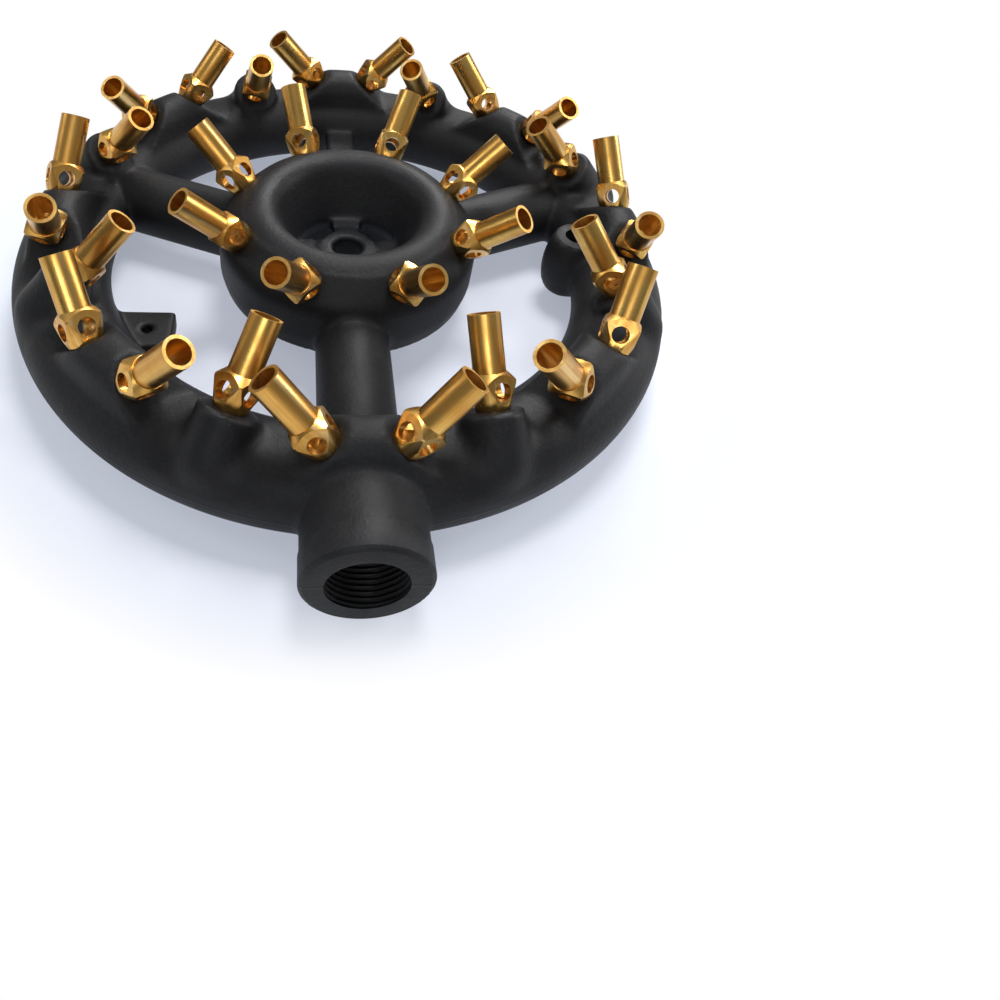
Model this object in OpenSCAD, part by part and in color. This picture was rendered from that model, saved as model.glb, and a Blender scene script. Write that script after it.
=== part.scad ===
// Jet burner: one hollow iron casting with screwed brass jets.
// The inlet points to -Y and the flames rise to +Z. The mould's parting plane is z = 0, and the
// ring's axis is the Z axis. Angles are counted anticlockwise from the inlet, seen from above.

/* [Gas ring] */
// Radius of the ring's centre line
ring_r = 133.2; // [128:0.2:140]
// Width of the ring's tube, across the ring
ring_w = 42.6; // [38:0.2:46]
// Height of the ring's tube
ring_h = 34.6; // [32:0.2:38]
// Bore of the gas way inside the ring
ring_way_d = 23; // [18:0.5:26]

/* [Gables that carry the jet pairs] */
// Number of gables round the ring, with a single boss between each two
gable_count = 8; // [8:8]
// Height of a gable's flat top above the parting plane
gable_top = 32; // [29:0.5:35]
// Width of a gable's flat top
gable_flat = 12; // [8:0.5:16]
// Height at which a gable's flanks end inside the ring
gable_foot = 8; // [4:0.5:10]
// Radius of a gable's round crest, across the ring
crest_r = 12; // [10:0.5:15]
// Draft of a gable's flanks
gable_draft = 12; // [6:0.5:16]

/* [Bosses that carry the single jets] */
// Diameter of a single jet's boss
boss_d = 25; // [22:0.5:28]
// Length of a single jet's boss, from its seat to its round end
boss_len = 20; // [16:0.5:24]
// Chamfer round a boss's seat
boss_chamfer = 1.6; // [0.5:0.1:2.5]

/* [Spokes] */
// Diameter of the three spokes that carry gas
spoke_d = 33; // [28:0.5:34]
// Bore of the gas way inside a spoke
spoke_way_d = 20; // [14:0.5:21]
// Reach of the rear spokes' round ends beyond the ring's centre line
spoke_end = 30.3; // [26:0.1:34]
// Angle of a rear gas spoke from the inlet
rear_spoke_angle = 112.5; // [112.5:112.5]
// Width of the flat bar at the back
bar_w = 15.5; // [12:0.5:20]
// Thickness of the flat bar
bar_h = 11; // [8:0.5:14]
// Height of the flat bar's top above the parting plane
bar_top = 4.5; // [2:0.5:8]

/* [Hub] */
// Radius of the circle through the crest of the hub's rim
rim_r = 45.4; // [44:0.1:47]
// Distance of the hub's side outside the rim's crest, at the parting plane
hub_side = 16.3; // [15:0.1:18]
// Radius of the rim's rolled edge
rim_roll_r = 6.6; // [5:0.1:8]
// Height of the rim's crest above the parting plane
rim_top = 33.8; // [31:0.1:36]
// Depth of the hub's flat underside below the parting plane
hub_under = 8; // [6:0.5:12]
// Radius of the hub's round shoulder below the jet seats
shoulder_r = 14; // [10:0.5:16]
// Draft of the hub's side below the parting plane
hub_draft = 2; // [1:0.5:4]
// Radius of the hub's central well
well_r = 26; // [24:0.5:28]
// Height above the parting plane where the bowl meets the well
well_top = 7; // [4:0.5:9]
// Wall of the hub round its gas chamber
hub_wall = 5; // [4:0.5:6]

/* [Spider in the hub] */
// Diameter of the spider's centre boss
spider_boss_d = 28; // [24:0.5:32]
// Through hole in the centre boss
spider_bore_d = 14.5; // [10:0.5:18]
// Height of the centre boss's top above the parting plane
spider_top = 7.6; // [5:0.1:9]
// Depth of the centre boss
spider_boss_h = 14; // [10:0.5:15]
// Width of a spider arm at the boss
arm_w = 12.4; // [9:0.2:15]
// Width of a spider arm at the wall
arm_wall_w = 16; // [12:0.5:20]
// Thickness of a spider arm
arm_h = 7; // [5:0.5:10]
// Step from the boss's top down to the arms
arm_drop = 1; // [0.5:0.1:2]

/* [Inlet] */
// Outer diameter of the inlet collar
collar_d = 48; // [46:0.5:52]
// Length of the collar
collar_len = 12.2; // [8:0.2:20]
// Distance of the inlet face beyond the ring's centre line
inlet_reach = 43.4; // [40:0.2:48]
// Chamfer on the collar's outer edge
collar_chamfer = 1.5; // [0.5:0.1:3]
// Step from the collar down to the neck
collar_step = 0.4; // [0.2:0.1:1.5]
// Distance of the neck's round end inside the ring's centre line
neck_end = 12.2; // [8:0.2:16]
// Core diameter of the inlet's pipe thread
inlet_bore_d = 30.3; // [28:0.1:33]
// Depth of the inlet's thread
inlet_depth = 22; // [16:0.5:26]
// Bore of the gas way behind the thread
inlet_way_d = 26; // [20:0.5:28]

/* [Side boss and lug] */
// Distance of the side boss's axis inside the ring's centre line
side_boss_in = 19.6; // [18:0.2:22]
// Diameter of the side boss
side_boss_d = 20.5; // [18:0.5:23]
// Height of the side boss's top above the parting plane
side_boss_top = 17.4; // [14:0.2:20]
// Depth of the side boss's foot below the parting plane
side_boss_foot = 15; // [10:0.5:16]
// Core diameter of the side boss's thread
side_bore_d = 11.4; // [9:0.1:13]
// Depth of the side boss's thread
side_bore_depth = 18; // [12:0.5:24]
// Distance of the lug's hole inside the ring's centre line, along X
lug_in = 43.2; // [40:0.2:46]
// Distance of the lug's hole in front of the centre
lug_hole_y = 50.9; // [48:0.1:54]
// Distance from the lug's hole to its edges
lug_edge = 11.3; // [9:0.1:12]
// Diameter of the lug's hole
lug_bore_d = 5; // [4:0.1:6]
// Thickness of the lug
lug_h = 10; // [6:0.5:14]
// Depth of the lug's top below the parting plane
lug_drop = 0.5; // [0:0.1:2]

/* [Brass jet] */
// Size of the square bar that a jet is turned from
jet_square = 14.6; // [14:0.1:15]
// Diameter over the turned corners, where a jet's body is widest
jet_wide_d = 19.4; // [18:0.1:20.5]
// Height of the widest place above the seat
jet_wide_z = 9.6; // [8:0.2:10.6]
// Length of the widest place
jet_wide_len = 1.2; // [0.4:0.2:2.4]
// Diameter of a jet where it seats
jet_seat_d = 13.2; // [12:0.1:14]
// Diameter of the body's top, where the tube begins
jet_top_d = 13.2; // [13.1:0.1:14]
// Length of a jet's square body
jet_body_len = 14; // [12:0.5:16]
// Length of a jet's tube
jet_tube_len = 22.5; // [18:0.5:30]
// Outer diameter of a jet's tube
jet_tube_d = 12.7; // [12:0.1:13]
// Bore of a jet's tube
jet_bore_d = 9.9; // [9:0.1:10.5]
// Diameter of the air holes across a jet's body
air_hole_d = 7.2; // [5:0.1:8]
// Height of the air holes above the seat
air_hole_z = 7; // [6.6:0.1:8]
// Height of the floor of a jet's bore above the seat
jet_floor = 3; // [2:0.1:3.4]
// Diameter of the gas orifice in the floor
orifice_d = 1.3; // [0.8:0.1:2]
// Diameter of the threaded shank
shank_d = 9.7; // [8:0.1:10.5]
// Length of the threaded shank
shank_len = 7; // [5:0.5:9]
// Bore of the shank below the orifice
shank_bore_d = 5; // [3:0.1:6]
// Gap between a shank and its tapped hole
thread_gap = 0.15; // [0.1:0.05:0.3]
// Diameter of the flat spot that a jet seats on
spot_d = 15; // [14:0.2:15]

/* [Where the jets point] */
// Angle from a gable's middle to each of its jets
pair_angle = 6; // [5.5:0.1:7]
// Distance of the pair seats outside the ring's centre line
pair_out = 3; // [1:0.1:5]
// Depth of the pair seats below the gable's slope, straight down
pair_sink = 1.45; // [0.8:0.05:2.2]
// Sideways lean of a pair jet, equal to the slope of the gable
pair_lean = 38.5; // [34:0.5:42]
// Inward lean of a pair jet
pair_inward = 8.45; // [4:0.05:12]
// Distance of the single seats inside the ring's centre line
single_in = 4.8; // [3:0.1:7]
// Height of the single seats above the ring's top
single_rise = 7.6; // [6:0.1:9]
// Inward lean of a single jet
single_inward = 39.4; // [34:0.1:44]
// Swirl of a single jet, anticlockwise
single_swirl = 9.4; // [4:0.1:14]
// Number of jets on the hub
inner_count = 8; // [4:1:8]
// Distance of the hub seats outside the rim's crest
inner_out = 8.75; // [8:0.05:9.5]
// Depth of the hub seats below the hub's sloping face
inner_sink = 0.95; // [0.5:0.05:1.5]
// Outward lean of a hub jet
inner_outward = 45.8; // [42:0.1:50]
// Swirl of a hub jet, clockwise
inner_swirl = 6.8; // [2:0.1:10]

/* [Hidden] */
$fn = 96;
gable_step = 360 / gable_count;
half_step = gable_step / 2;
outer_count = 3 * gable_count;
inner_step = 360 / inner_count;
spoke_end_r = ring_r + spoke_end;
inlet_face_r = ring_r + inlet_reach;
neck_end_r = ring_r - neck_end;
side_boss_r = ring_r - side_boss_in;
lug_hole_x = ring_r - lug_in;
hub_r = rim_r + hub_side;
gable_slope = tan(pair_lean);
gable_foot_half = gable_flat / 2 + (gable_top - gable_foot) / gable_slope;
tap_r = shank_d / 2 + thread_gap;
outer_tap_depth = boss_len + 1;
inner_tap_depth = 2 * shank_len;
spot_h = jet_body_len;
neck_d = collar_d - 2 * collar_step;
rim_z = rim_top - rim_roll_r;
// Outward direction of the sloping face that the hub jets seat on, in the hub's half section
seat_normal = [sin(inner_outward), cos(inner_outward)];
// The shoulder touches the sloping face above it and the side wall below it
shoulder_x = hub_r - shoulder_r;
shoulder_z = (([rim_r, rim_z] - [shoulder_x, 0]) * seat_normal + rim_roll_r - shoulder_r) / seat_normal[1];
// The hub's seats lie just below the sloping face
inner_r = rim_r + inner_out;
slope_level = [rim_r, rim_z] * seat_normal + rim_roll_r;
inner_z = (slope_level - inner_sink - inner_r * seat_normal[0]) / seat_normal[1];
// The pair seats are cut into the gables' slopes, and the single seats stand over the ring
pair_r = ring_r + pair_out;
pair_z = gable_top - (pair_r * sin(pair_angle) - gable_flat / 2) * gable_slope - pair_sink;
single_r = ring_r - single_in;
single_z = ring_h / 2 + single_rise;
// The bowl's wall runs from the well's edge so that it touches the rolled rim
bowl_run = norm([rim_r - well_r, rim_z - well_top]);
bowl_angle = atan2(rim_z - well_top, rim_r - well_r) + asin(rim_roll_r / bowl_run);
bowl_normal = [-sin(bowl_angle), cos(bowl_angle)];
rear_spokes = [rear_spoke_angle, 360 - rear_spoke_angle];
// Turn of each jet about its own axis, where its thread came tight
outer_turns = [
    22, 0, 18, 20, 5, 58, 62, 38, 20, 56, 46, 8,
    46, 58, 72, 30, 60, 24, 76, 40, 88, 75, 62, 14
];
inner_turns = [38, 35, 84, 12, 50, 82, 14, 52];
cut = 1;
brass = "goldenrod";
iron = "dimgray";

function outer_jet_name(i) = str("outer_jet_", i < 10 ? "0" : "", i);
function inner_jet_name(i) = str("inner_jet_", i);

// Turns children from the inlet's side round to an angle
module at_angle(angle) {
    rotate([0, 0, angle]) children();
}

// Puts children, standing on +Z, on a seat: side is -1 or +1 for a pair and 0 for a single jet
module on_outer_seat(gable, side) {
    if (side == 0)
        at_angle(gable * gable_step + half_step)
            translate([0, -single_r, single_z])
                rotate([0, single_swirl, 0])
                    rotate([-single_inward, 0, 0])
                        children();
    else
        at_angle(gable * gable_step + side * pair_angle)
            translate([0, -pair_r, pair_z])
                rotate([-pair_inward, 0, 0])
                    rotate([0, side * pair_lean, 0])
                        children();
}

// Puts children, standing on +Z, on a seat of the hub
module on_inner_seat(i) {
    at_angle((i + 0.5) * inner_step)
        translate([0, -inner_r, inner_z])
            rotate([0, -inner_swirl, 0])
                rotate([inner_outward, 0, 0])
                    children();
}

// Puts children on every jet's seat
module on_outer_seats() {
    for (gable = [0 : gable_count - 1])
        for (side = [-1 : 1])
            on_outer_seat(gable, side) children();
}

module on_inner_seats() {
    for (i = [0 : inner_count - 1])
        on_inner_seat(i) children();
}

// Lays children that stand on +Z down along a spoke, with their foot at a distance from the centre
module along_spoke(angle, start_r) {
    at_angle(angle)
        translate([0, -start_r, 0])
            rotate([90, 0, 0])
                children();
}

// Plain rod, and one with a round far end whose length includes that end.
// The quarter turn keeps their seams off the mould's parting plane.
module rod(d, len) {
    rotate([0, 0, 90]) cylinder(d = d, h = len);
}

module round_rod(d, len) {
    rotate([0, 0, 90]) rotate_extrude()
        intersection() {
            union() {
                translate([-d / 2, 0]) square([d, len - d / 2]);
                translate([0, len - d / 2]) circle(d = d);
            }
            square([d, len]);
        }
}

// Section of the ring's tube: round sides with a short flat top and bottom
module ring_section() {
    translate([-(ring_w - ring_h) / 2, 0]) circle(d = ring_h);
    translate([(ring_w - ring_h) / 2, 0]) circle(d = ring_h);
    square([ring_w - ring_h, ring_h], center = true);
}

module gas_ring() {
    rotate_extrude()
        translate([ring_r, 0]) ring_section();
}

// Round-topped band that all the gables are cut from, with drafted flanks that touch the crest
module gable_band() {
    crest_z = gable_top - crest_r;
    flank_top = [crest_r * cos(gable_draft), crest_z + crest_r * sin(gable_draft)];
    flank_foot = flank_top[0] + flank_top[1] * tan(gable_draft);
    rotate_extrude()
        translate([ring_r, 0]) {
            translate([0, crest_z]) circle(r = crest_r);
            polygon([
                [-flank_foot, 0],
                [flank_foot, 0],
                flank_top,
                [-flank_top[0], flank_top[1]]
            ]);
        }
}

module gable_outline() {
    polygon([
        [-gable_foot_half, gable_foot],
        [gable_foot_half, gable_foot],
        [gable_flat / 2, gable_top],
        [-gable_flat / 2, gable_top]
    ]);
}

module gables() {
    intersection() {
        gable_band();
        for (i = [0 : gable_count - 1])
            along_spoke(i * gable_step, ring_r - ring_w)
                linear_extrude(2 * ring_w) gable_outline();
    }
}

// Boss under a single jet, leaning with it and rounded where it dies into the ring
module single_boss() {
    rotate_extrude()
        intersection() {
            union() {
                polygon([
                    [0, 0],
                    [boss_d / 2 - boss_chamfer, 0],
                    [boss_d / 2, -boss_chamfer],
                    [boss_d / 2, -boss_len],
                    [0, -boss_len]
                ]);
                translate([0, -boss_len]) circle(d = boss_d);
            }
            translate([0, -boss_len - boss_d]) square([boss_d, boss_len + boss_d]);
        }
}

module single_bosses() {
    for (gable = [0 : gable_count - 1])
        on_outer_seat(gable, 0) single_boss();
}

module spokes() {
    along_spoke(0, rim_r) rod(spoke_d, ring_r - rim_r);
    for (angle = rear_spokes)
        along_spoke(angle, rim_r) round_rod(spoke_d, spoke_end_r - rim_r);
    along_spoke(180, rim_r)
        translate([-bar_w / 2, bar_top - bar_h, 0])
            cube([bar_w, bar_h, ring_r - rim_r]);
}

// Half section of the hub's metal, as if it had no gas chamber: the rolled rim, the sloping
// seat face, the round shoulder and the side wall outside, and the bowl and well inside
module hub_section() {
    polygon([
        [well_r, -hub_under],
        [hub_r - hub_draft, -hub_under],
        [hub_r, 0],
        [hub_r, shoulder_z],
        [shoulder_x, shoulder_z] + shoulder_r * seat_normal,
        [rim_r, rim_z] + rim_roll_r * seat_normal,
        [rim_r, rim_z],
        [rim_r, rim_z] + rim_roll_r * bowl_normal,
        [well_r, well_top]
    ]);
    translate([rim_r, rim_z]) circle(r = rim_roll_r);
    translate([shoulder_x, shoulder_z]) circle(r = shoulder_r);
}

module hub() {
    rotate_extrude() hub_section();
}

// One arm of the spider, pointing to the inlet's side
module spider_arm() {
    arm_reach = well_r + hub_wall / 2;
    linear_extrude(arm_h)
        polygon([
            [-arm_w / 2, 0],
            [arm_w / 2, 0],
            [arm_w / 2, -spider_boss_d / 2],
            [arm_wall_w / 2, -arm_reach],
            [-arm_wall_w / 2, -arm_reach],
            [-arm_w / 2, -spider_boss_d / 2]
        ]);
}

module spider() {
    translate([0, 0, spider_top - spider_boss_h])
        cylinder(d = spider_boss_d, h = spider_boss_h);
    translate([0, 0, spider_top - arm_drop - arm_h])
        for (angle = [0 : 90 : 270])
            at_angle(angle) spider_arm();
}

// Collar, neck and the neck's round end, from the inlet face inwards
module inlet() {
    translate([0, -inlet_face_r, 0])
        rotate([-90, 0, 0]) {
            rotate_extrude()
                polygon([
                    [0, 0],
                    [collar_d / 2 - collar_chamfer, 0],
                    [collar_d / 2, collar_chamfer],
                    [collar_d / 2, collar_len - collar_step],
                    [neck_d / 2, collar_len],
                    [0, collar_len]
                ]);
            round_rod(neck_d, inlet_face_r - neck_end_r);
        }
}

module side_boss() {
    translate([side_boss_r, 0, -side_boss_foot])
        cylinder(d = side_boss_d, h = side_boss_foot + side_boss_top);
}

module lug() {
    translate([-ring_r, -lug_hole_y - lug_edge, -lug_drop - lug_h])
        cube([ring_r - lug_hole_x + lug_edge, 2 * lug_edge, lug_h]);
}

// Gas ways through the ring, the three spokes, the hub and the inlet
module gas_ways() {
    rotate_extrude()
        translate([ring_r, 0]) circle(d = ring_way_d);
    for (angle = concat([0], rear_spokes))
        along_spoke(angle, rim_r) rod(spoke_way_d, ring_r - rim_r);
    along_spoke(0, ring_r) rod(inlet_way_d, inlet_face_r - ring_r);
    hub_chamber();
}

// Ring-shaped chamber in the hub, with the same wall all round
module hub_chamber() {
    rotate_extrude()
        polygon([
            [well_r + hub_wall, hub_wall - hub_under],
            [hub_r - hub_wall, hub_wall - hub_under],
            [hub_r - hub_wall, shoulder_z],
            [shoulder_x, shoulder_z] + (shoulder_r - hub_wall) * seat_normal,
            [rim_r, rim_z] + (rim_roll_r - hub_wall) * seat_normal,
            [rim_r, rim_z] + (rim_roll_r - hub_wall) * bowl_normal,
            [well_r, well_top] - hub_wall * bowl_normal,
            [well_r + hub_wall, well_top - hub_wall]
        ]);
}

module inlet_bore() {
    translate([0, -inlet_face_r - cut, 0])
        rotate([-90, 0, 0])
            cylinder(d = inlet_bore_d, h = inlet_depth + cut);
}

// Flat spot and tapped hole of one jet
module jet_hole(depth) {
    cylinder(d = spot_d, h = spot_h);
    translate([0, 0, -depth]) cylinder(r = tap_r, h = depth + cut);
}

module side_bore() {
    translate([side_boss_r, 0, side_boss_top]) {
        cylinder(d = side_boss_d + cut, h = gable_top);
        translate([0, 0, -side_bore_depth]) cylinder(d = side_bore_d, h = side_bore_depth + cut);
    }
}

module lug_bore() {
    translate([-lug_hole_x, -lug_hole_y, -lug_drop - lug_h - cut])
        cylinder(d = lug_bore_d, h = lug_h + 2 * cut);
}

module spider_bore() {
    translate([0, 0, spider_top - spider_boss_h - cut])
        cylinder(d = spider_bore_d, h = spider_boss_h + 2 * cut);
}

// The casting's outer shape, before its gas ways and holes are cut
module casting_outside() {
    gas_ring();
    gables();
    single_bosses();
    spokes();
    hub();
    spider();
    inlet();
    side_boss();
    lug();
}

module burner_casting() {
    color(iron)
        difference() {
            casting_outside();
            gas_ways();
            inlet_bore();
            on_outer_seats() jet_hole(outer_tap_depth);
            on_inner_seats() jet_hole(inner_tap_depth);
            side_bore();
            lug_bore();
            spider_bore();
        }
}

// Turned shape that a jet's body is cut to: a long cone up from the seat, and a short one to the tube
module jet_turning() {
    rotate_extrude()
        polygon([
            [0, 0],
            [jet_seat_d / 2, 0],
            [jet_wide_d / 2, jet_wide_z],
            [jet_wide_d / 2, jet_wide_z + jet_wide_len],
            [jet_top_d / 2, jet_body_len],
            [0, jet_body_len]
        ]);
}

// Brass jet, standing on its seat at z = 0 with its shank below
module jet() {
    color(brass)
        difference() {
            union() {
                intersection() {
                    translate([-jet_square / 2, -jet_square / 2, 0])
                        cube([jet_square, jet_square, jet_body_len]);
                    jet_turning();
                }
                translate([0, 0, jet_floor])
                    cylinder(d = jet_tube_d, h = jet_body_len + jet_tube_len - jet_floor);
                translate([0, 0, -shank_len]) cylinder(d = shank_d, h = shank_len + jet_floor);
            }
            translate([0, 0, jet_floor]) cylinder(d = jet_bore_d, h = jet_body_len + jet_tube_len);
            translate([0, 0, -shank_len - cut]) cylinder(d = shank_bore_d, h = shank_len + cut);
            translate([0, 0, -cut]) cylinder(d = orifice_d, h = jet_floor + 2 * cut);
            for (turn = [0 : 90 : 270])
                rotate([0, 0, turn])
                    translate([0, -jet_bore_d / 2 + cut, air_hole_z])
                        rotate([90, 0, 0])
                            cylinder(d = air_hole_d, h = jet_square);
        }
}

module outer_jet(i) {
    gable = floor((i - 1) / 3);
    side = (i - 1) % 3;
    on_outer_seat(side == 0 ? gable : side == 1 ? gable : (gable + 1) % gable_count,
        side == 0 ? 1 : side == 1 ? 0 : -1)
        rotate([0, 0, outer_turns[(i - 1) % len(outer_turns)]]) jet();
}

module inner_jet(i) {
    on_inner_seat(i - 1)
        rotate([0, 0, inner_turns[(i - 1) % len(inner_turns)]]) jet();
}

burner_casting();
for (i = [1 : outer_count])
    outer_jet(i);
for (i = [1 : inner_count])
    inner_jet(i);
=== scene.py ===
import math

import bmesh
import bpy
from mathutils import Matrix, Quaternion, Vector


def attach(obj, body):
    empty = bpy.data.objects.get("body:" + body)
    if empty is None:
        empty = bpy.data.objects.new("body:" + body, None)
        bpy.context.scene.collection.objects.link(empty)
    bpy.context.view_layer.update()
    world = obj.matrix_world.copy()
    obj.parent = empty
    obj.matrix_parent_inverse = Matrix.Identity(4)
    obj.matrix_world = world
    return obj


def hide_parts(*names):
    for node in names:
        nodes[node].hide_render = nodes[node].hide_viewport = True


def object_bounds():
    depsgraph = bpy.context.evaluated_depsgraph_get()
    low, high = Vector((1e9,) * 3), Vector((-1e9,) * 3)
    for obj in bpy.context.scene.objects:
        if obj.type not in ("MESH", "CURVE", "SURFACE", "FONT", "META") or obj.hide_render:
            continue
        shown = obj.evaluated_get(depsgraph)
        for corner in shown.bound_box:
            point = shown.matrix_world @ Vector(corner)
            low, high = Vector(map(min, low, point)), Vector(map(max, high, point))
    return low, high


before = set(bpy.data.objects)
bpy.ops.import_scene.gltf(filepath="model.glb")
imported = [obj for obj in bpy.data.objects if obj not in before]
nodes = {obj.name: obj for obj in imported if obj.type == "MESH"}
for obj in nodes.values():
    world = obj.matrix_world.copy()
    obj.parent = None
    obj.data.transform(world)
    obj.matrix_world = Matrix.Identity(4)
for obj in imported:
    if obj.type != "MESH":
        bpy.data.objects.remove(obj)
cad_low, cad_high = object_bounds()

# Camera: a close wide lens looks down on the burner from above its inlet, a little
# to the left, and is turned a few degrees on its own axis.
camera_place = Vector((-0.02856, -0.32218, 0.26298))
camera_aim = Vector((0.01676, -0.03059, 0.0))
camera_roll = 0.1202
camera_data = bpy.data.cameras.new("camera")
camera_data.lens = 30.2
camera_data.sensor_width = 36.0
camera_data.shift_x = 0.115
camera_data.shift_y = -0.200
camera_data.clip_start = 0.01
camera_data.clip_end = 20.0
camera = bpy.data.objects.new("camera", camera_data)
bpy.context.scene.collection.objects.link(camera)
camera.rotation_mode = "QUATERNION"
camera.location = camera_place
level_turn = (camera_aim - camera_place).to_track_quat("-Z", "Y")
camera.rotation_quaternion = level_turn @ Quaternion((0, 0, 1), camera_roll)
bpy.context.scene.camera = camera
bpy.context.scene.view_settings.view_transform = "Standard"

# Light: soft boxes hang over the burner and behind it, with weaker ones in front and on
# both sides. The sky is dim and patchy, darkest near the table, so that the turned brass
# mirrors soft streaks; the camera sees it white.
boxes = [
    ("box_overhead", (0.15, 0.25, 1.3), (0.45, 0.4), 13.0),
    ("box_rear", (0.45, 1.2, 0.95), (0.6, 0.35), 17.0),
    ("box_front", (-0.2, -1.2, 0.75), (0.5, 0.3), 3.5),
    ("box_left", (-1.1, 0.1, 0.75), (0.25, 0.9), 3.0),
    ("box_right", (1.2, 0.2, 0.6), (0.3, 0.9), 8.0)]
for name, place, size, power in boxes:
    lamp_data = bpy.data.lights.new(name, "AREA")
    lamp_data.shape = "RECTANGLE"
    lamp_data.size, lamp_data.size_y = size
    lamp_data.energy = power
    lamp = bpy.data.objects.new(name, lamp_data)
    lamp.location = place
    lamp.rotation_euler = (-Vector(place)).to_track_quat("-Z", "Y").to_euler()
    bpy.context.scene.collection.objects.link(lamp)


def add_node(tree, kind, **settings):
    made = tree.nodes.new(kind)
    for name, value in settings.items():
        setattr(made, name, value)
    return made


def ramp(tree, value, start, end, low=0.0, high=1.0):
    """The value's way from start to end, spread from low to high."""
    node = add_node(tree, "ShaderNodeMapRange", clamp=True)
    tree.links.new(value, node.inputs["Value"])
    node.inputs["From Min"].default_value = start
    node.inputs["From Max"].default_value = end
    node.inputs["To Min"].default_value = low
    node.inputs["To Max"].default_value = high
    return node.outputs["Result"]


def maths(tree, operation, first, second=0.0):
    """Two values joined by one operation; each is a number or another node's output."""
    node = add_node(tree, "ShaderNodeMath", operation=operation)
    for socket, value in zip(node.inputs, (first, second)):
        if isinstance(value, (int, float)):
            socket.default_value = value
        else:
            tree.links.new(value, socket)
    return node.outputs[0]


world = bpy.data.worlds.new("studio")
bpy.context.scene.world = world
world.use_nodes = True
sky = world.node_tree
sky.nodes.clear()
sky_light = add_node(sky, "ShaderNodeBackground")
sky_light.inputs["Color"].default_value = (0.93, 0.96, 1.0, 1)
sky_seen = add_node(sky, "ShaderNodeBackground")
sky_seen.inputs["Color"].default_value = (1, 1, 1, 1)
sky_seen.inputs["Strength"].default_value = 1.0
sky_way = add_node(sky, "ShaderNodeTexCoord").outputs["Generated"]
sky_axes = add_node(sky, "ShaderNodeSeparateXYZ")
sky.links.new(sky_way, sky_axes.inputs[0])
sky_rise = ramp(sky, sky_axes.outputs["Z"], start=0.05, end=0.80, low=0.09, high=0.50)
sky_cloud = add_node(sky, "ShaderNodeTexNoise")
sky_cloud.inputs["Scale"].default_value = 1.9
sky_cloud.inputs["Detail"].default_value = 1.0
sky.links.new(sky_way, sky_cloud.inputs["Vector"])
sky_patch = ramp(sky, sky_cloud.outputs["Fac"], start=0.42, end=0.60, low=0.25, high=1.25)
sky.links.new(maths(sky, "MULTIPLY", sky_rise, sky_patch), sky_light.inputs["Strength"])
sky_path = add_node(sky, "ShaderNodeLightPath")
sky_mix = add_node(sky, "ShaderNodeMixShader")
sky.links.new(sky_path.outputs["Is Camera Ray"], sky_mix.inputs["Fac"])
sky.links.new(sky_light.outputs[0], sky_mix.inputs[1])
sky.links.new(sky_seen.outputs[0], sky_mix.inputs[2])
sky_out = add_node(sky, "ShaderNodeOutputWorld")
sky.links.new(sky_mix.outputs[0], sky_out.inputs["Surface"])

# Table: a wide flat top, painted matt white, on which the burner stands. Camera and
# reflections see it pure white beyond the burner; near and below it, a painted bluish shade.
table_size = 6.0
table_white = (0.80, 0.82, 0.88)
shade_blue = (0.64, 0.74, 1.02)
shade_reach = 0.165
white_reach = 0.200
shade_glow = 0.42


def blend(tree, share, first, second):
    """Colour that goes from first to second with the share."""
    node = add_node(tree, "ShaderNodeMix", data_type="RGBA")
    tree.links.new(share, node.inputs["Factor"])
    for socket, value in ((node.inputs[6], first), (node.inputs[7], second)):
        if isinstance(value, tuple):
            socket.default_value = value + (1,)
        else:
            tree.links.new(value, socket)
    return node.outputs[2]


bpy.ops.object.select_all(action="DESELECT")
bpy.ops.mesh.primitive_plane_add(size=table_size, location=(0, 0, cad_low.z))
table = bpy.context.active_object
table.name = "table_top"
table_paint = bpy.data.materials.new("white table")
table_paint.use_nodes = True
paint = table_paint.node_tree
paint.nodes.clear()
paint_matt = add_node(paint, "ShaderNodeBsdfDiffuse")
paint_matt.inputs["Color"].default_value = table_white + (1,)
paint_place = add_node(paint, "ShaderNodeTexCoord").outputs["Object"]
paint_away = add_node(paint, "ShaderNodeVectorMath", operation="LENGTH")
paint.links.new(paint_place, paint_away.inputs[0])
paint_reach = paint_away.outputs["Value"]
# Painted shade: near the burner the table's glow is a dim blue, and it turns white farther out
painted_shade_to_white = ramp(paint, paint_reach, shade_reach, white_reach, shade_glow, 1.0)
paint_glow = add_node(paint, "ShaderNodeEmission")
paint_glow.inputs["Strength"].default_value = 1.0
paint.links.new(blend(paint, painted_shade_to_white, shade_blue, (1, 1, 1)), paint_glow.inputs["Color"])
paint_path = add_node(paint, "ShaderNodeLightPath").outputs
paint_seen = maths(paint, "MAXIMUM", paint_path["Is Camera Ray"], paint_path["Is Glossy Ray"])
paint_seen = maths(paint, "MAXIMUM", paint_seen, paint_path["Is Transmission Ray"])
paint_mix = add_node(paint, "ShaderNodeMixShader")
paint.links.new(maths(paint, "MULTIPLY", paint_seen, painted_shade_to_white), paint_mix.inputs["Fac"])
paint.links.new(paint_matt.outputs[0], paint_mix.inputs[1])
paint.links.new(paint_glow.outputs[0], paint_mix.inputs[2])
paint_out = add_node(paint, "ShaderNodeOutputMaterial")
paint.links.new(paint_mix.outputs[0], paint_out.inputs["Surface"])
table.data.materials.append(table_paint)

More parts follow.
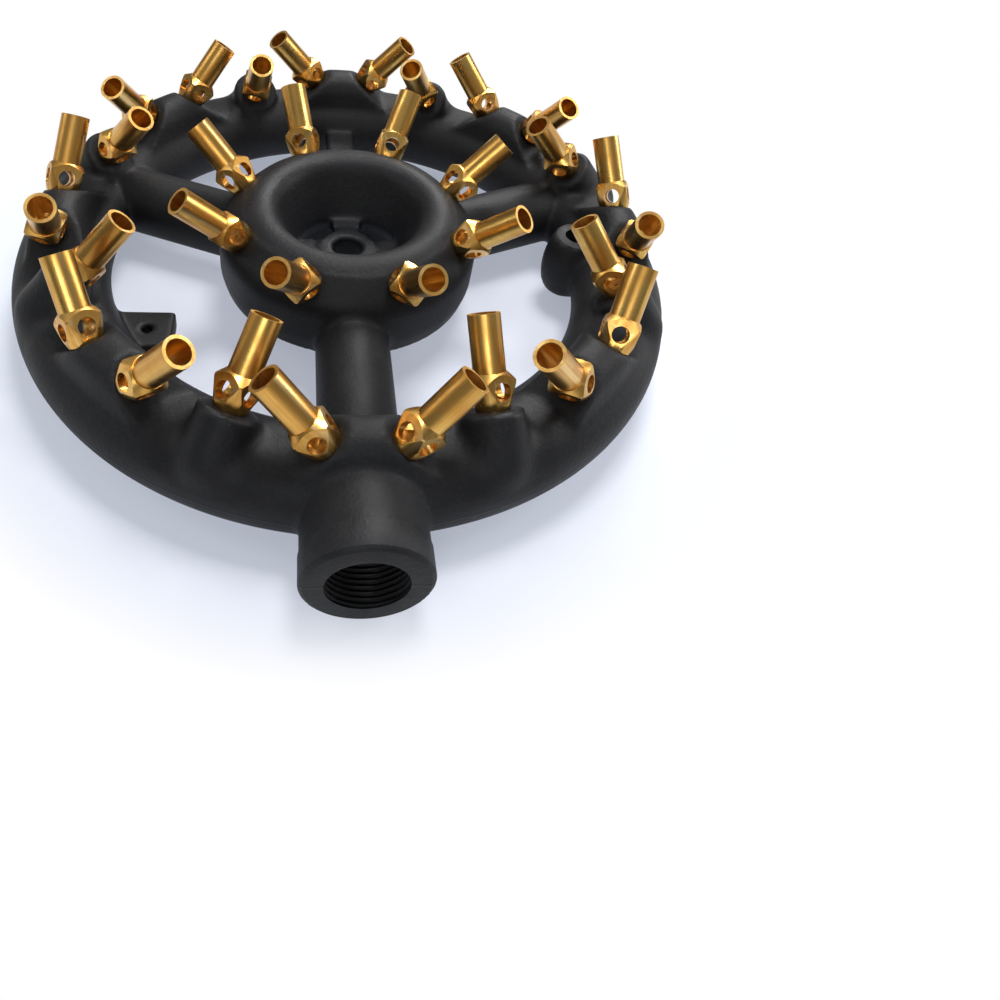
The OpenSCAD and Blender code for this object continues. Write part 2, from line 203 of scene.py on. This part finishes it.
# Jet seats: flat spots with tapped holes, milled into the iron. Sixteen jets stand in
# pairs on the ring's gables, eight single ones between them lean inwards, and eight on
# the hub lean outwards. A seat's frame has +Z along its jet.
gable_step = math.radians(45.0)
pair_angle = math.radians(6.0)
pair_seat = Vector((0, -0.1362, 0.024))
pair_inward = math.radians(8.45)
pair_lean = math.radians(38.5)
single_seat = Vector((0, -0.1284, 0.0249))
single_inward = math.radians(39.4)
single_swirl = math.radians(9.4)
inner_seat = Vector((0, -0.05415, 0.0263))
inner_outward = math.radians(45.8)
inner_swirl = math.radians(6.8)


def turn(axis, angle):
    return Matrix.Rotation(angle, 4, axis)


def pair_frame(gable, side):
    place = turn("Z", gable * gable_step + side * pair_angle) @ Matrix.Translation(pair_seat)
    return place @ turn("X", -pair_inward) @ turn("Y", side * pair_lean)


def single_frame(gable):
    place = turn("Z", (gable + 0.5) * gable_step) @ Matrix.Translation(single_seat)
    return place @ turn("Y", single_swirl) @ turn("X", -single_inward)


def inner_frame(index):
    place = turn("Z", (index + 0.5) * gable_step) @ Matrix.Translation(inner_seat)
    return place @ turn("Y", -inner_swirl) @ turn("X", inner_outward)


seats = {}
for gable in range(8):
    seats[f"outer_jet_{3 * gable + 1:02d}"] = pair_frame(gable, 1)
    seats[f"outer_jet_{3 * gable + 2:02d}"] = single_frame(gable)
    seats[f"outer_jet_{3 * gable + 3:02d}"] = pair_frame(gable + 1, -1)
for index in range(8):
    seats[f"inner_jet_{index + 1}"] = inner_frame(index)

# Burner casting: ring, gables, bosses, spokes, hub, inlet and lug are one sand casting in
# grey iron, with a soft rounded edge at every joint. The solid's copy is fused and
# smoothed, with its tapped holes plugged, because the jets fill them.
same_point = 0.000002
skin_voxel = 0.0013
skin_triangles = 168000
plug_radius = 0.0054
plug_length = 0.012
plug_cover = 0.0008
way_plug_radius = 0.0130
way_plug_length = 0.044
way_plug_middle = (0, -0.1330, 0)
side_boss_place = Vector((0.1136, 0, 0.0174))
roll_middle = 0.0423
roll_radius = 0.0097
roll_height = 0.0241
roll_blend = 0.0005
roll_start = 50.0
roll_sweep = 107.5
roll_steps = 14
crest_inside = -0.002
crest_slope = 1.1


def only(piece):
    bpy.ops.object.select_all(action="DESELECT")
    piece.select_set(True)
    bpy.context.view_layer.objects.active = piece


def spun(name, points, sides=96):
    """Closed turned body about Z: its outline is drawn point by point and spun round."""
    bpy.ops.object.select_all(action="DESELECT")
    bpy.ops.mesh.primitive_plane_add(size=0.001)
    made = bpy.context.active_object
    made.name = name
    bpy.ops.object.mode_set(mode="EDIT")
    bpy.ops.mesh.select_all(action="SELECT")
    bpy.ops.mesh.merge(type="CENTER")
    bpy.ops.transform.translate(value=(points[0][0], 0, points[0][1]))
    for start, end in zip(points, points[1:]):
        step = (end[0] - start[0], 0, end[1] - start[1])
        bpy.ops.mesh.extrude_vertices_move(TRANSFORM_OT_translate={"value": step})
    bpy.ops.mesh.select_all(action="SELECT")
    bpy.ops.mesh.spin(
        steps=sides, angle=2 * math.pi, center=(0, 0, 0), axis=(0, 0, 1), use_auto_merge=True)
    bpy.ops.mesh.select_all(action="SELECT")
    bpy.ops.mesh.remove_doubles(threshold=same_point)
    bpy.ops.mesh.normals_make_consistent(inside=False)
    bpy.ops.object.mode_set(mode="OBJECT")
    return made


only(nodes["burner_casting"])
bpy.ops.object.duplicate()
skin = bpy.context.active_object
skin.name = "casting_skin"
bpy.ops.object.mode_set(mode="EDIT")
bpy.ops.mesh.select_all(action="SELECT")
bpy.ops.mesh.remove_doubles(threshold=same_point)
bpy.ops.object.mode_set(mode="OBJECT")

plugs = []
for seat in seats.values():
    plug_middle = seat @ Vector((0, 0, -plug_cover - plug_length / 2))
    bpy.ops.mesh.primitive_cylinder_add(
        vertices=24, radius=plug_radius, depth=plug_length,
        location=plug_middle, rotation=seat.to_euler())
    plugs.append(bpy.context.active_object)

# A plug across the ring's gas way, behind the inlet, closes all the ways inside, which
# can't be seen, and the voxels below then fill them
bpy.ops.mesh.primitive_cylinder_add(
    vertices=48, radius=way_plug_radius, depth=way_plug_length,
    location=way_plug_middle, rotation=(0, math.pi / 2, 0))
plugs.append(bpy.context.active_object)

# The side boss bulges like a barrel below its machined face; as in every outline here,
# a point is its distance from the axis and its height
barrel_rings = [
    (0.0078, 0.0162), (0.0103, 0.0165), (0.0118, 0.0138), (0.0131, 0.0085), (0.0137, 0.0020),
    (0.0135, -0.0040), (0.0122, -0.0105), (0.0100, -0.0148), (0.0078, -0.0150),
    (0.0078, 0.0162)]
barrel = spun("side_barrel", barrel_rings, 64)
barrel.data.transform(Matrix.Translation((side_boss_place.x, 0, 0)))
plugs.append(barrel)

# The hub's rim is a full round roll, and the bowl's wall runs steeply down from it
roll_rings = []
for step in range(roll_steps + 1):
    angle = math.radians(roll_start + roll_sweep * step / roll_steps)
    roll_rings.append((roll_middle + roll_radius * math.cos(angle),
                       roll_height + roll_radius * math.sin(angle)))
roll_rings += [(0.0245, 0.0065), (0.0252, 0.0020), (0.0278, 0.0010), (0.0460, 0.0180)]
roll_rings.append(roll_rings[0])
plugs.append(spun("bowl_and_roll", roll_rings, 144))

only(skin)
for plug in plugs:
    plug.select_set(True)
bpy.ops.object.join()
bpy.ops.object.transform_apply(location=True, rotation=True, scale=True)
skin.data.materials.clear()
fuse = skin.modifiers.new("fuse", "REMESH")
fuse.mode = "VOXEL"
fuse.voxel_size = skin_voxel
bpy.ops.object.modifier_apply(modifier=fuse.name)

# The roll is fuller than the seat face beside it, so the solid's old crest sinks to it
for vertex in skin.data.vertices:
    x, y, z = vertex.co
    reach = math.hypot(x, y)
    out, up = reach - roll_middle, z - roll_height
    if up <= 0 or not crest_inside < out < up * crest_slope:
        continue
    full_radius = roll_radius + roll_blend * min(max(out / up, 0.0), 1.0) ** 2
    if math.hypot(out, up) > full_radius:
        sink = full_radius / math.hypot(out, up)
        shift = (roll_middle + out * sink) / reach
        vertex.co = (x * shift, y * shift, roll_height + up * sink)

# The skin is soft all over, less so where the real one keeps an edge: spider, lug, side
# boss, collar and bar. The outer flanks of the single bosses melt into the ring.
crisp_share = 0.25
soft_rounds = 8
melt_rounds = 80
spider_reach = 0.0255
lug_x, lug_y, lug_z = (-0.113, -0.0785), (-0.0645, -0.0405), (-0.011, 0.0)
side_face_reach = 0.0118
side_face_low = 0.0145
collar_back = -0.1645
bar_half_width = 0.009
bar_y = (0.064, 0.109)
ring_inside = 0.118
flank_low = -0.008
flank_reach = 0.022
flank_foot = -0.030
flank_top = -0.0012
flank_share = 0.6
flank_width = 0.012
side_fade = 0.004
top_fade = 0.005
soft = skin.vertex_groups.new(name="soft")
melted = skin.vertex_groups.new(name="melted")
boss_frames = [seats[f"outer_jet_{3 * gable + 2:02d}"].inverted() for gable in range(8)]
for vertex in skin.data.vertices:
    x, y, z = vertex.co
    reach = math.hypot(x, y)
    in_spider = reach < spider_reach
    in_lug = (lug_x[0] < x < lug_x[1] and lug_y[0] < y < lug_y[1]
              and lug_z[0] < z < lug_z[1])
    on_side_boss = (math.hypot(x - side_boss_place.x, y) < side_face_reach
                    and z > side_face_low)
    on_bar = abs(x) < bar_half_width and bar_y[0] < y < bar_y[1]
    keeps_edge = in_spider or in_lug or on_side_boss or y < collar_back or on_bar
    soft.add([vertex.index], crisp_share if keeps_edge else 1.0, "REPLACE")
    if reach < ring_inside or z < flank_low:
        continue
    for boss_frame in boss_frames:
        spot = boss_frame @ vertex.co
        away = math.hypot(spot.x, spot.y)
        if away < flank_reach and flank_foot < spot.z < flank_top:
            outer = min(max(flank_share - spot.y / flank_width, 0.0), 1.0)
            fade = min(
                (flank_reach - away) / side_fade, (flank_top - spot.z) / top_fade, 1.0)
            melted.add([vertex.index], max(outer * fade, 0.0), "REPLACE")
for group, rounds in ((soft, soft_rounds), (melted, melt_rounds)):
    smooth = skin.modifiers.new("soften", "SMOOTH")
    smooth.factor = 0.5
    smooth.iterations = rounds
    smooth.vertex_group = group.name
    bpy.ops.object.modifier_apply(modifier=smooth.name)
thin = skin.modifiers.new("thin out", "DECIMATE")
thin.ratio = skin_triangles / (2 * len(skin.data.polygons))
thin.use_collapse_triangulate = True
bpy.ops.object.modifier_apply(modifier=thin.name)

# Inlet and side boss: both have a machined face and a pipe thread, cut into the casting.
# Face, edge and thread are turned skins of their own, and the fused skin steps back
# behind them.
inlet_face = -0.1766
inlet_crest = 0.01515
inlet_root = 0.0164
inlet_pitch = 0.002309
inlet_depth = 0.0215
inlet_reach = 0.0175
inlet_near_axis = 0.001
inlet_back_radius = 0.0169
collar_length = 0.0112
collar_back_radius = 0.0236
side_crest = 0.0057
side_root = 0.0064
side_pitch = 0.001337
side_depth = 0.0155
side_reach = 0.0075
side_near_axis = 0.0005
side_back_radius = 0.0067
side_rim_reach = 0.0115
side_rim_depth = 0.0012
side_face_gap = 0.0004
face_gap = 0.0006
past_thread = 0.0005
for vertex in skin.data.vertices:
    x, y, z = vertex.co
    off_axis = math.hypot(x, z)
    if y < inlet_face + inlet_depth + past_thread and off_axis < inlet_reach:
        grow = inlet_back_radius / max(off_axis, inlet_near_axis)
        vertex.co = (x * grow, max(y, inlet_face + face_gap), z * grow)
    elif y < inlet_face + collar_length:
        shrink = min(collar_back_radius / off_axis, 1.0)
        vertex.co = (x * shrink, max(y, inlet_face + face_gap), z * shrink)
    beside = Vector((x - side_boss_place.x, y))
    side_end = side_boss_place.z - side_depth - past_thread
    if beside.length < side_reach and z > side_end:
        grow = side_back_radius / max(beside.length, side_near_axis)
        vertex.co.x = side_boss_place.x + beside.x * grow
        vertex.co.y = beside.y * grow
    if beside.length < side_rim_reach and z > side_boss_place.z - side_rim_depth:
        vertex.co.z = side_boss_place.z - side_face_gap
bpy.ops.object.shade_smooth()


def threaded_sleeve(name, outer, crest, root, pitch, length, sides):
    """Closed sleeve, outer points down its outside, with a thread cut all down its bore."""
    cuts_per_turn = 8
    flank_steepness = 1.5
    flat_share = 0.25
    wall = 0.0003
    hair = 0.00001
    inner = [(root + wall, -length), (crest, -length), (crest, 0.0)]
    sleeve = spun(name, [(crest, 0.0)] + outer + inner, sides)
    in_bore = crest + hair
    bpy.ops.object.mode_set(mode="EDIT")
    bpy.ops.mesh.select_all(action="DESELECT")
    shape = bmesh.from_edit_mesh(sleeve.data)
    for edge in shape.edges:
        ends = [math.hypot(*end.co.xy) for end in edge.verts]
        rise = abs(edge.verts[0].co.z - edge.verts[1].co.z)
        edge.select_set(max(ends) < in_bore and rise > length / 2)
    bmesh.update_edit_mesh(sleeve.data)
    bpy.ops.mesh.subdivide(number_cuts=int(length / pitch * cuts_per_turn))
    bpy.ops.object.mode_set(mode="OBJECT")
    for vertex in sleeve.data.vertices:
        x, y, z = vertex.co
        if math.hypot(x, y) > in_bore:
            continue
        phase = (-z / pitch + math.atan2(y, x) / (2 * math.pi)) % 1.0
        groove = abs(2 * phase - 1) * flank_steepness - flat_share
        groove = min(max(groove, 0.0), 1.0)
        lead_in = min(-z / pitch, (z + length) / pitch, 1.0)
        radius = crest + (root - crest) * groove * max(lead_in, 0.0)
        grow = radius / math.hypot(x, y)
        vertex.co.x *= grow
        vertex.co.y *= grow
    return sleeve


collar_rings = [
    (0.0156, 0.0), (0.0222, 0.0), (0.02245, -0.0001), (0.0239, -0.0014),
    (0.0240, -0.0017), (0.0240, -0.0116), (0.0239, -0.0119), (0.0230, -0.0124)]
collar = threaded_sleeve(
    "collar_sleeve", collar_rings, inlet_crest, inlet_root, inlet_pitch, inlet_depth, 96)
collar.data.transform(Matrix.Translation((0, inlet_face, 0)) @ turn("X", math.pi / 2))
side_rings = [
    (0.0060, 0.0), (0.0098, 0.0), (0.01010, -0.0002),
    (0.01025, -0.0006), (0.01025, -0.0020), (0.0095, -0.0030)]
side_sleeve = threaded_sleeve(
    "side_sleeve", side_rings, side_crest, side_root, side_pitch, side_depth, 48)
side_sleeve.data.transform(Matrix.Translation(side_boss_place))
for piece in (collar, side_sleeve):
    only(piece)
    bpy.ops.object.shade_smooth_by_angle(angle=math.radians(35))
only(skin)
collar.select_set(True)
side_sleeve.select_set(True)
bpy.ops.object.join()
for vertex in skin.data.vertices:
    vertex.co.x = min(max(vertex.co.x, cad_low.x), cad_high.x)
    vertex.co.y = min(max(vertex.co.y, cad_low.y), cad_high.y)
    vertex.co.z = max(vertex.co.z, cad_low.z)

# Black cast iron: a dull skin with sand grain, faint patches, light specks that are
# painted glints, a painted highlight along the edges, and a trace of the mould's parting line.
iron_dark = (0.0075, 0.0078, 0.0092)
iron_pale = (0.0130, 0.0134, 0.0150)
iron_pit = (0.0055, 0.0057, 0.0066)
iron_painted_glint = (0.075, 0.076, 0.078)
iron_painted_edge_highlight = (0.050, 0.050, 0.052)
pit_share = 0.55
painted_glint_share = 0.4
edge_highlight_share = 0.5
edge_highlight_polish = 0.12
sand_relief = 0.17
wave_relief = 0.25
parting_relief = 0.35
grain = bpy.data.node_groups.new("grain spread", "ShaderNodeTree")
grain.interface.new_socket("Vector", in_out="INPUT", socket_type="NodeSocketVector")
for name in ("Scale", "Low", "High"):
    grain.interface.new_socket(name, in_out="INPUT", socket_type="NodeSocketFloat")
grain.interface.new_socket("Value", in_out="OUTPUT", socket_type="NodeSocketFloat")
grain_given = add_node(grain, "NodeGroupInput").outputs
grain_noise = add_node(grain, "ShaderNodeTexNoise")
grain_noise.inputs["Detail"].default_value = 3.0
grain_levels = add_node(grain, "ShaderNodeMapRange", clamp=True)
grain_result = add_node(grain, "NodeGroupOutput")
grain.links.new(grain_given["Vector"], grain_noise.inputs["Vector"])
grain.links.new(grain_given["Scale"], grain_noise.inputs["Scale"])
grain.links.new(grain_noise.outputs["Fac"], grain_levels.inputs["Value"])
grain.links.new(grain_given["Low"], grain_levels.inputs["From Min"])
grain.links.new(grain_given["High"], grain_levels.inputs["From Max"])
grain.links.new(grain_levels.outputs["Result"], grain_result.inputs["Value"])


def grains(tree, vector, scale, low, high):
    """One noise from the shared group: 0 below low, 1 above high."""
    node = add_node(tree, "ShaderNodeGroup", node_tree=grain)
    tree.links.new(vector, node.inputs["Vector"])
    node.inputs["Scale"].default_value = scale
    node.inputs["Low"].default_value = low
    node.inputs["High"].default_value = high
    return node.outputs["Value"]


def reach_squared(tree, axes):
    """Square of each point's distance from the upright axis through the origin."""
    square_x = maths(tree, "POWER", axes.outputs["X"], 2.0)
    square_y = maths(tree, "POWER", axes.outputs["Y"], 2.0)
    return maths(tree, "ADD", square_x, square_y)


iron = bpy.data.materials.new("black cast iron")
iron.use_nodes = True
tree = iron.node_tree
shader = tree.nodes["Principled BSDF"]
shader.inputs["Specular IOR Level"].default_value = 0.22
place = add_node(tree, "ShaderNodeTexCoord").outputs["Object"]
edges = add_node(tree, "ShaderNodeNewGeometry").outputs["Pointiness"]
patches = grains(tree, place, scale=26.0, low=0.38, high=0.66)
# Painted glints: sparse light specks stand in for light catching the sand grain
painted_glints = grains(tree, place, scale=1250.0, low=0.68, high=0.76)
grit = grains(tree, place, scale=620.0, low=0.36, high=0.64)
# Painted highlight: convex edges, in patches, are lighter and a little smoother
edge_highlight_places = grains(tree, place, scale=120.0, low=0.35, high=0.65)
painted_edge_highlight = maths(tree, "MULTIPLY", ramp(tree, edges, start=0.515, end=0.60), edge_highlight_places)
colour = blend(tree, patches, iron_dark, iron_pale)
colour = blend(tree, maths(tree, "MULTIPLY", grit, pit_share), colour, iron_pit)
colour = blend(tree, maths(tree, "MULTIPLY", painted_glints, painted_glint_share), colour, iron_painted_glint)
colour = blend(tree, maths(tree, "MULTIPLY", painted_edge_highlight, edge_highlight_share), colour, iron_painted_edge_highlight)
tree.links.new(colour, shader.inputs["Base Color"])
dull = ramp(tree, patches, start=0.0, end=1.0, low=0.50, high=0.62)
dull = maths(tree, "SUBTRACT", dull, maths(tree, "MULTIPLY", painted_edge_highlight, edge_highlight_polish))
tree.links.new(dull, shader.inputs["Roughness"])

# The mould's halves met at z = 0, and their line shows only round the ring's outside
axes = add_node(tree, "ShaderNodeSeparateXYZ")
tree.links.new(place, axes.inputs[0])
outside = ramp(tree, reach_squared(tree, axes), start=0.0205, end=0.0215)
height = maths(tree, "ABSOLUTE", axes.outputs["Z"])
parting = maths(tree, "MULTIPLY", ramp(tree, height, start=0.0009, end=0.0003), outside)
fine_sand = grains(tree, place, scale=1300.0, low=0.2, high=0.8)
sand = maths(tree, "MULTIPLY", maths(tree, "ADD", fine_sand, grit), sand_relief)
waves = grains(tree, place, scale=130.0, low=0.2, high=0.8)
relief = maths(tree, "ADD", sand, maths(tree, "MULTIPLY", waves, wave_relief))
relief = maths(tree, "ADD", relief, maths(tree, "MULTIPLY", parting, parting_relief))
bump = add_node(tree, "ShaderNodeBump")
bump.inputs["Strength"].default_value = 0.6
bump.inputs["Distance"].default_value = 0.0005
tree.links.new(relief, bump.inputs["Height"])
tree.links.new(bump.outputs["Normal"], shader.inputs["Normal"])
skin.data.materials.clear()
skin.data.materials.append(iron)
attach(skin, "root")
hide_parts("burner_casting")

# Brass jets: each is one piece turned and cross-drilled from square brass bar, with a
# threaded shank that screws into the iron, a gas orifice, four air holes and a tube.
bar_square = 0.0146
body_length = 0.014
jet_length = 0.0365
jet_floor = 0.003
tube_radius = 0.00635
tube_bore = 0.00495
shank_radius = 0.00485
shank_length = 0.007
shank_bore = 0.0025
orifice_radius = 0.00065
air_hole_radius = 0.0036
air_hole_height = 0.007
broken_edge = 0.0002
past_face = 0.001
cross_drill_length = 0.03


def rod(name, radius, low, high, sides=64):
    bpy.ops.mesh.primitive_cylinder_add(
        vertices=sides, radius=radius, depth=high - low, location=(0, 0, (low + high) / 2))
    made = bpy.context.active_object
    made.name = name
    return made


def carve(target, tool, operation):
    only(target)
    step = target.modifiers.new(operation.lower(), "BOOLEAN")
    step.operation = operation
    step.solver = "EXACT"
    step.object = tool
    bpy.ops.object.modifier_apply(modifier=step.name)
    bpy.data.objects.remove(tool, do_unlink=True)


bpy.ops.object.select_all(action="DESELECT")
bpy.ops.mesh.primitive_cube_add(size=1.0, location=(0, 0, body_length / 2))
jet = bpy.context.active_object
jet.name = "jet_master"
jet.scale = (bar_square, bar_square, body_length)
bpy.ops.object.transform_apply(location=True, rotation=True, scale=True)
turned_rings = [
    (0.0, -0.0001), (0.00655, -0.0001), (0.0097, 0.0096),
    (0.0097, 0.0108), (0.0066, 0.0141), (0.0, 0.0141)]
carve(jet, spun("turned_body", turned_rings), "INTERSECT")
carve(jet, rod("tube", tube_radius, jet_floor, jet_length), "UNION")
carve(jet, rod("shank", shank_radius, -shank_length, jet_floor, 48), "UNION")
carve(jet, rod("bore", tube_bore, jet_floor, jet_length + 2 * past_face), "DIFFERENCE")
carve(jet, rod("shank_bore", shank_bore, -shank_length - past_face, 0.0, 24), "DIFFERENCE")
carve(jet, rod("orifice", orifice_radius, -past_face, jet_floor + past_face, 16), "DIFFERENCE")
for quarter in (0.0, math.pi / 2):
    bpy.ops.mesh.primitive_cylinder_add(
        vertices=40, radius=air_hole_radius, depth=cross_drill_length,
        location=(0, 0, air_hole_height), rotation=(math.pi / 2, 0, quarter))
    carve(jet, bpy.context.active_object, "DIFFERENCE")
only(jet)
rounding = jet.modifiers.new("broken edges", "BEVEL")
rounding.width = broken_edge
rounding.segments = 2
rounding.limit_method = "ANGLE"
rounding.angle_limit = math.radians(30)
bpy.ops.object.modifier_apply(modifier=rounding.name)
bpy.ops.object.shade_smooth_by_angle(angle=math.radians(32))
flats = jet.modifiers.new("flats stay flat", "WEIGHTED_NORMAL")
flats.weight = 100
flats.keep_sharp = True
bpy.ops.object.modifier_apply(modifier=flats.name)

# A jet's marks follow its own shape, so each point keeps its place on the unplaced jet
own = jet.data.attributes.new("own", "FLOAT_VECTOR", "POINT")
for vertex in jet.data.vertices:
    own.data[vertex.index].vector = vertex.co

# Turned brass: bright metal with fine rings from the lathe, dark streaks along the axis that
# are partly marks of the drawn bar and partly painted reflections, tarnish that differs from
# jet to jet, a duller end face, a clean bore and a painted highlight on the edges.
brass_new = (0.74, 0.43, 0.115)
brass_yellow = (0.70, 0.455, 0.130)
brass_tarnish = (0.60, 0.32, 0.074)
brass_drawn_and_reflected_streak = (0.46, 0.22, 0.046)
brass_in_bore = (0.84, 0.52, 0.155)
brass_painted_edge_highlight = (0.92, 0.70, 0.34)
bore_share = 0.8
streak_share = 0.55
brass_edge_highlight_share = 0.5
streak_stretch = 0.06
brass = bpy.data.materials.new("turned brass")
brass.use_nodes = True
tree = brass.node_tree
shader = tree.nodes["Principled BSDF"]
shader.inputs["Metallic"].default_value = 1.0
shader.inputs["Anisotropic"].default_value = 0.35
own_place = add_node(tree, "ShaderNodeAttribute", attribute_name="own").outputs["Vector"]
lay = add_node(tree, "ShaderNodeAttribute", attribute_name="lay").outputs["Vector"]
place = add_node(tree, "ShaderNodeTexCoord").outputs["Object"]
edges = add_node(tree, "ShaderNodeNewGeometry").outputs["Pointiness"]
axes = add_node(tree, "ShaderNodeSeparateXYZ")
tree.links.new(own_place, axes.inputs[0])
along = axes.outputs["Z"]
radius = maths(tree, "SQRT", reach_squared(tree, axes))
below_end = ramp(tree, along, start=0.0364, end=0.0358)
in_bore = maths(tree, "MULTIPLY", ramp(tree, radius, start=0.00530, end=0.00505), below_end)
end_face = ramp(tree, along, start=0.03625, end=0.03640)
# Painted highlight: the jets' convex edges are paler and brighter
painted_brass_edge_highlight = ramp(tree, edges, start=0.53, end=0.62)
batch = grains(tree, place, scale=13.0, low=0.42, high=0.60)
stains = grains(tree, place, scale=70.0, low=0.35, high=0.70)
# Dark streaks along the jet's axis: partly marks of the drawn bar, partly painted reflections
streak_place = add_node(tree, "ShaderNodeCombineXYZ")
tree.links.new(axes.outputs["X"], streak_place.inputs["X"])
tree.links.new(axes.outputs["Y"], streak_place.inputs["Y"])
tree.links.new(maths(tree, "MULTIPLY", along, streak_stretch), streak_place.inputs["Z"])
drawn_marks_and_painted_reflections = grains(tree, streak_place.outputs[0], scale=420.0, low=0.40, high=0.62)
colour = blend(tree, batch, brass_new, brass_yellow)
colour = blend(tree, stains, colour, brass_tarnish)
colour = blend(tree, maths(tree, "MULTIPLY", in_bore, bore_share), colour, brass_in_bore)
colour = blend(tree, maths(tree, "MULTIPLY", drawn_marks_and_painted_reflections, streak_share), colour, brass_drawn_and_reflected_streak)
colour = blend(tree, maths(tree, "MULTIPLY", painted_brass_edge_highlight, brass_edge_highlight_share), colour, brass_painted_edge_highlight)
tree.links.new(colour, shader.inputs["Base Color"])
dull = ramp(tree, stains, start=0.0, end=1.0, low=0.25, high=0.34)
for part, more in ((drawn_marks_and_painted_reflections, 0.06), (end_face, 0.14), (in_bore, 0.04)):
    dull = maths(tree, "ADD", dull, maths(tree, "MULTIPLY", part, more))
tree.links.new(dull, shader.inputs["Roughness"])
tree.links.new(lay, shader.inputs["Tangent"])
rings_place = add_node(tree, "ShaderNodeCombineXYZ")
tree.links.new(radius, rings_place.inputs["X"])
tree.links.new(along, rings_place.inputs["Z"])
rings = grains(tree, rings_place.outputs[0], scale=2600.0, low=0.25, high=0.75)
bump = add_node(tree, "ShaderNodeBump")
bump.inputs["Strength"].default_value = 0.10
bump.inputs["Distance"].default_value = 0.0001
tree.links.new(rings, bump.inputs["Height"])
tree.links.new(bump.outputs["Normal"], shader.inputs["Normal"])
jet.data.materials.append(brass)

# Each jet stands on its seat, turned in degrees as far as its thread let it tighten, and
# keeps the direction in which the lathe's marks run round it
outer_turns = [
    22, 0, 18, 20, 5, 58, 62, 38, 20, 56, 46, 8,
    46, 58, 72, 30, 60, 24, 76, 40, 88, 75, 62, 14]
inner_turns = [38, 35, 84, 12, 50, 82, 14, 52]
for (name, seat), degrees in zip(seats.items(), outer_turns + inner_turns):
    only(jet)
    bpy.ops.object.duplicate()
    copy = bpy.context.active_object
    copy.name = name.replace("jet", "brass_jet")
    standing = seat @ turn("Z", math.radians(degrees))
    marks_way = copy.data.attributes.new("lay", "FLOAT_VECTOR", "POINT")
    for vertex in copy.data.vertices:
        across = Vector((-vertex.co.y, vertex.co.x, 0)).normalized()
        marks_way.data[vertex.index].vector = standing.to_3x3() @ across
    copy.data.transform(standing)
    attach(copy, "root")
    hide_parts(name)
bpy.data.objects.remove(jet, do_unlink=True)
